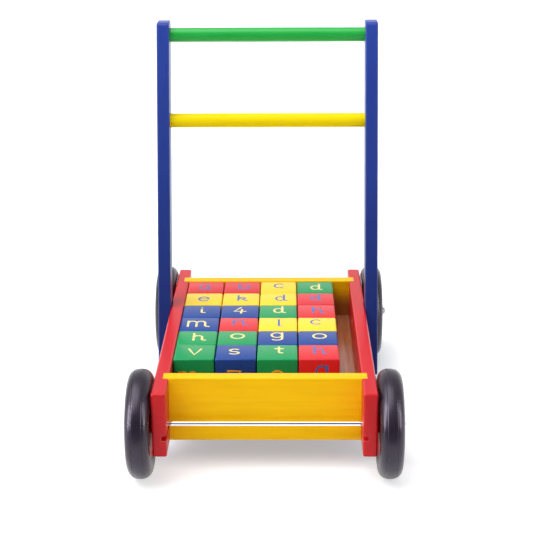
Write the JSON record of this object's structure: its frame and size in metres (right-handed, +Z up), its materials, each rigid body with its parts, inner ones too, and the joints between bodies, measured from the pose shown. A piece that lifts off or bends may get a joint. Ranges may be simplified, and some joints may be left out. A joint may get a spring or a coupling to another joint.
{
  "type": "baby walker",
  "caption": "Push-along wooden baby walker: a tray on four rubber-tyred wheels, filled with lift-out alphabet cube blocks, with a leaning handle of two uprights and two round bars.",
  "frame": {"origin": "on the ground under the middle of the wheelbase, on the walker's centre line", "axes": "+X to the right seen from the front, +Y from the front of the tray to the handle (the walker is pushed towards -Y), +Z up"},
  "size_m": [0.3176, 0.5032, 0.4616],
  "materials": {
    "red_paint": "satin lacquer",
    "blue_paint": "satin lacquer",
    "yellow_paint": "satin lacquer",
    "green_paint": "satin lacquer",
    "plywood": "clear lacquer",
    "tyre_rubber": "moulded",
    "hub_plastic": "gloss",
    "axle_steel": "bright plated",
    "cap_metal": "bright plated",
    "fastener_steel": "zinc plated"
  },
  "bodies": {
    "chassis": {"side_board_left": "red_paint", "upright_left": "blue_paint", "side_board_right": "red_paint", "upright_right": "blue_paint", "front_panel": "yellow_paint", "rear_panel": "yellow_paint", "tray_floor": "plywood", "grip_bar": "green_paint", "cross_bar": "yellow_paint", "front_axle": "axle_steel", "rear_axle": "axle_steel", "axle_cap_front_left": "cap_metal", "axle_cap_front_right": "cap_metal", "axle_cap_rear_left": "cap_metal", "axle_cap_rear_right": "cap_metal", "inner_washers": "fastener_steel", "outer_washers": "fastener_steel", "upright_bolts": "fastener_steel", "upright_nuts": "fastener_steel", "panel_screws": "fastener_steel", "bar_screws": "fastener_steel"},
    "wheel_front_left": {"hub_front_left": "hub_plastic", "tyre_front_left": "tyre_rubber"},
    "wheel_front_right": {"hub_front_right": "hub_plastic", "tyre_front_right": "tyre_rubber"},
    "wheel_rear_left": {"hub_rear_left": "hub_plastic", "tyre_rear_left": "tyre_rubber"},
    "wheel_rear_right": {"hub_rear_right": "hub_plastic", "tyre_rear_right": "tyre_rubber"},
    "block_1_1": {"block_1_1": "red_paint"},
    "block_1_2": {"block_1_2": "red_paint"},
    "block_1_3": {"block_1_3": "yellow_paint"},
    "block_1_4": {"block_1_4": "green_paint"},
    "block_2_1": {"block_2_1": "yellow_paint"},
    "block_2_2": {"block_2_2": "yellow_paint"},
    "block_2_3": {"block_2_3": "yellow_paint"},
    "block_2_4": {"block_2_4": "red_paint"},
    "block_3_1": {"block_3_1": "blue_paint"},
    "block_3_2": {"block_3_2": "blue_paint"},
    "block_3_3": {"block_3_3": "green_paint"},
    "block_3_4": {"block_3_4": "red_paint"},
    "block_4_1": {"block_4_1": "blue_paint"},
    "block_4_2": {"block_4_2": "red_paint"},
    "block_4_3": {"block_4_3": "yellow_paint"},
    "block_4_4": {"block_4_4": "yellow_paint"},
    "block_5_1": {"block_5_1": "green_paint"},
    "block_5_2": {"block_5_2": "green_paint"},
    "block_5_3": {"block_5_3": "blue_paint"},
    "block_5_4": {"block_5_4": "blue_paint"},
    "block_6_1": {"block_6_1": "green_paint"},
    "block_6_2": {"block_6_2": "blue_paint"},
    "block_6_3": {"block_6_3": "green_paint"},
    "block_6_4": {"block_6_4": "red_paint"}
  },
  "joints": [
    {"name": "spin_front_left", "type": "hinge", "parent": "chassis", "child": "wheel_front_left", "pos_m": [-0.139, -0.19, 0.0616], "axis": [1, 0, 0], "continuous": true},
    {"name": "spin_front_right", "type": "hinge", "parent": "chassis", "child": "wheel_front_right", "pos_m": [0.139, -0.19, 0.0616], "axis": [1, 0, 0], "continuous": true},
    {"name": "spin_rear_left", "type": "hinge", "parent": "chassis", "child": "wheel_rear_left", "pos_m": [-0.139, 0.19, 0.0616], "axis": [1, 0, 0], "continuous": true},
    {"name": "spin_rear_right", "type": "hinge", "parent": "chassis", "child": "wheel_rear_right", "pos_m": [0.139, 0.19, 0.0616], "axis": [1, 0, 0], "continuous": true},
    {"name": "lift_block_1_1", "type": "slide", "parent": "chassis", "child": "block_1_1", "axis": [0, 0, 1], "range_m": [0, 0.06]},
    {"name": "lift_block_1_2", "type": "slide", "parent": "chassis", "child": "block_1_2", "axis": [0, 0, 1], "range_m": [0, 0.06]},
    {"name": "lift_block_1_3", "type": "slide", "parent": "chassis", "child": "block_1_3", "axis": [0, 0, 1], "range_m": [0, 0.06]},
    {"name": "lift_block_1_4", "type": "slide", "parent": "chassis", "child": "block_1_4", "axis": [0, 0, 1], "range_m": [0, 0.06]},
    {"name": "lift_block_2_1", "type": "slide", "parent": "chassis", "child": "block_2_1", "axis": [0, 0, 1], "range_m": [0, 0.06]},
    {"name": "lift_block_2_2", "type": "slide", "parent": "chassis", "child": "block_2_2", "axis": [0, 0, 1], "range_m": [0, 0.06]},
    {"name": "lift_block_2_3", "type": "slide", "parent": "chassis", "child": "block_2_3", "axis": [0, 0, 1], "range_m": [0, 0.06]},
    {"name": "lift_block_2_4", "type": "slide", "parent": "chassis", "child": "block_2_4", "axis": [0, 0, 1], "range_m": [0, 0.06]},
    {"name": "lift_block_3_1", "type": "slide", "parent": "chassis", "child": "block_3_1", "axis": [0, 0, 1], "range_m": [0, 0.06]},
    {"name": "lift_block_3_2", "type": "slide", "parent": "chassis", "child": "block_3_2", "axis": [0, 0, 1], "range_m": [0, 0.06]},
    {"name": "lift_block_3_3", "type": "slide", "parent": "chassis", "child": "block_3_3", "axis": [0, 0, 1], "range_m": [0, 0.06]},
    {"name": "lift_block_3_4", "type": "slide", "parent": "chassis", "child": "block_3_4", "axis": [0, 0, 1], "range_m": [0, 0.06]},
    {"name": "lift_block_4_1", "type": "slide", "parent": "chassis", "child": "block_4_1", "axis": [0, 0, 1], "range_m": [0, 0.06]},
    {"name": "lift_block_4_2", "type": "slide", "parent": "chassis", "child": "block_4_2", "axis": [0, 0, 1], "range_m": [0, 0.06]},
    {"name": "lift_block_4_3", "type": "slide", "parent": "chassis", "child": "block_4_3", "axis": [0, 0, 1], "range_m": [0, 0.06]},
    {"name": "lift_block_4_4", "type": "slide", "parent": "chassis", "child": "block_4_4", "axis": [0, 0, 1], "range_m": [0, 0.06]},
    {"name": "lift_block_5_1", "type": "slide", "parent": "chassis", "child": "block_5_1", "axis": [0, 0, 1], "range_m": [0, 0.06]},
    {"name": "lift_block_5_2", "type": "slide", "parent": "chassis", "child": "block_5_2", "axis": [0, 0, 1], "range_m": [0, 0.06]},
    {"name": "lift_block_5_3", "type": "slide", "parent": "chassis", "child": "block_5_3", "axis": [0, 0, 1], "range_m": [0, 0.06]},
    {"name": "lift_block_5_4", "type": "slide", "parent": "chassis", "child": "block_5_4", "axis": [0, 0, 1], "range_m": [0, 0.06]},
    {"name": "lift_block_6_1", "type": "slide", "parent": "chassis", "child": "block_6_1", "axis": [0, 0, 1], "range_m": [0, 0.06]},
    {"name": "lift_block_6_2", "type": "slide", "parent": "chassis", "child": "block_6_2", "axis": [0, 0, 1], "range_m": [0, 0.06]},
    {"name": "lift_block_6_3", "type": "slide", "parent": "chassis", "child": "block_6_3", "axis": [0, 0, 1], "range_m": [0, 0.06]},
    {"name": "lift_block_6_4", "type": "slide", "parent": "chassis", "child": "block_6_4", "axis": [0, 0, 1], "range_m": [0, 0.06]}
  ]
}
